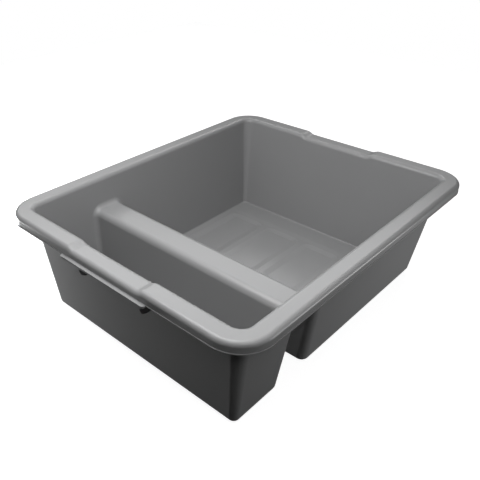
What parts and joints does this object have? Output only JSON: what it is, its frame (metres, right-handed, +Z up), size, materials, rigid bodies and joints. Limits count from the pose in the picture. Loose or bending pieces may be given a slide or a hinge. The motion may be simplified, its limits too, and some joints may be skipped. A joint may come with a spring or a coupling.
{
  "type": "bus tub",
  "caption": "Rectangular bus tub with a wide rolled rim, grips at the ends and a hollow divider that makes a large and a small compartment.",
  "frame": {"origin": "middle of the tub's footprint on the surface it stands on (bottom centre of the bounding box)", "axes": "+X along the length, away from the small compartment; +Y along the width; +Z up out of the open top"},
  "size_m": [0.556, 0.4406, 0.173],
  "materials": {
    "tub_plastic": "satin moulded grey plastic with a fine grain"
  },
  "bodies": {
    "root": {"tub": "tub_plastic"}
  },
  "joints": []
}
